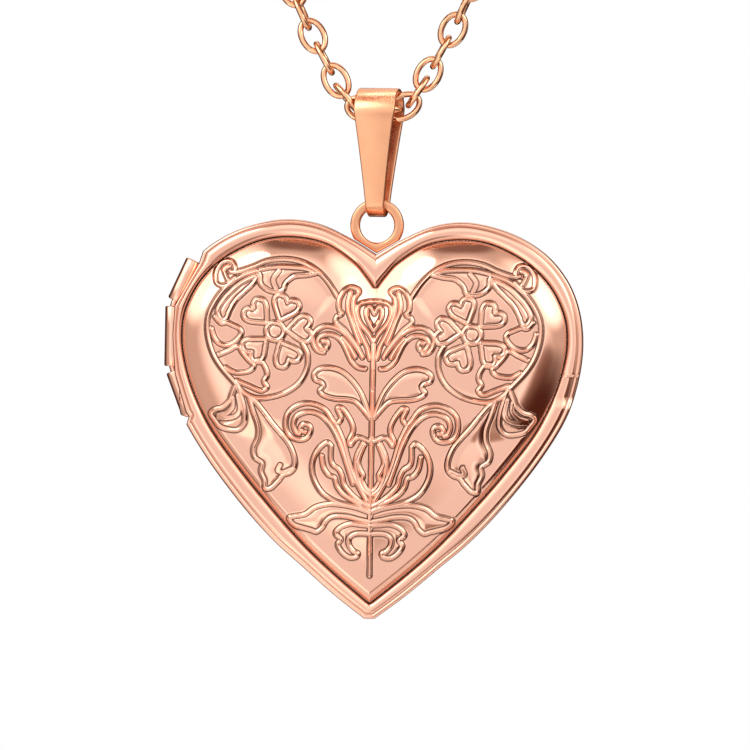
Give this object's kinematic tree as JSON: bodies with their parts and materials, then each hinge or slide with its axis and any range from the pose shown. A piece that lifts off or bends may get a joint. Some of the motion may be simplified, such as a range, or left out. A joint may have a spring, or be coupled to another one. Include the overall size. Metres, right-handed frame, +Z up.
{
  "type": "heart locket",
  "caption": "Hinged heart-shaped photo locket with a chased scroll front, hung by a tapered bail on a cable chain with a lobster clasp.",
  "frame": {"origin": "on the axis of the display peg that the chain is wound round and hangs from", "axes": "+Z up, -Y out of the chased front of the locket, +X to the right of that front"},
  "size_m": [0.0293, 0.0108, 0.0724],
  "materials": {
    "rose_gold": "polished rose gold plate over brass",
    "peach_gold": "polished, a little yellower than the heart",
    "clear_plastic": "clear sheet",
    "photo_paper": "blank matt photo paper",
    "spring_steel": "bright drawn wire"
  },
  "bodies": {
    "chain": {"chain_strands": "peach_gold", "chain_coil": "peach_gold", "clasp_body": "peach_gold", "clasp_rivet": "peach_gold", "clasp_spring": "spring_steel", "clasp_ring": "peach_gold", "end_ring": "peach_gold"},
    "clasp_gate": {"clasp_lever": "peach_gold"},
    "bail": {"bail": "peach_gold"},
    "locket_back": {"back_cover": "rose_gold", "closing_lip": "rose_gold", "back_photo_frame": "rose_gold", "back_photo_window": "clear_plastic", "back_photo_card": "photo_paper", "hinge_knuckle_upper": "rose_gold", "hinge_knuckle_lower": "rose_gold", "hinge_pin": "rose_gold", "pendant_loop": "peach_gold"},
    "locket_front": {"front_cover": "rose_gold", "front_photo_frame": "rose_gold", "front_photo_window": "clear_plastic", "front_photo_card": "photo_paper", "hinge_knuckle_middle": "rose_gold"}
  },
  "joints": [
    {"name": "bail_swing", "type": "hinge", "parent": "chain", "child": "bail", "pos_m": [0, 0, -0.022], "axis": [1, 0, 0], "range_deg": [-60, 60]},
    {"name": "locket_swing", "type": "hinge", "parent": "bail", "child": "locket_back", "pos_m": [0, 0, -0.0301], "axis": [0, 1, 0], "range_deg": [-40, 40]},
    {"name": "cover_hinge", "type": "hinge", "parent": "locket_back", "child": "locket_front", "pos_m": [-0.01415, 0, -0.0381], "axis": [0, 0, -1], "range_deg": [0, 160]},
    {"name": "clasp_lever", "type": "hinge", "parent": "chain", "child": "clasp_gate", "pos_m": [-0.00095, -0.00325, 0.0134], "axis": [0, 0, -1], "range_deg": [0, 22], "stiffness_Nm_per_rad": 0.005}
  ]
}
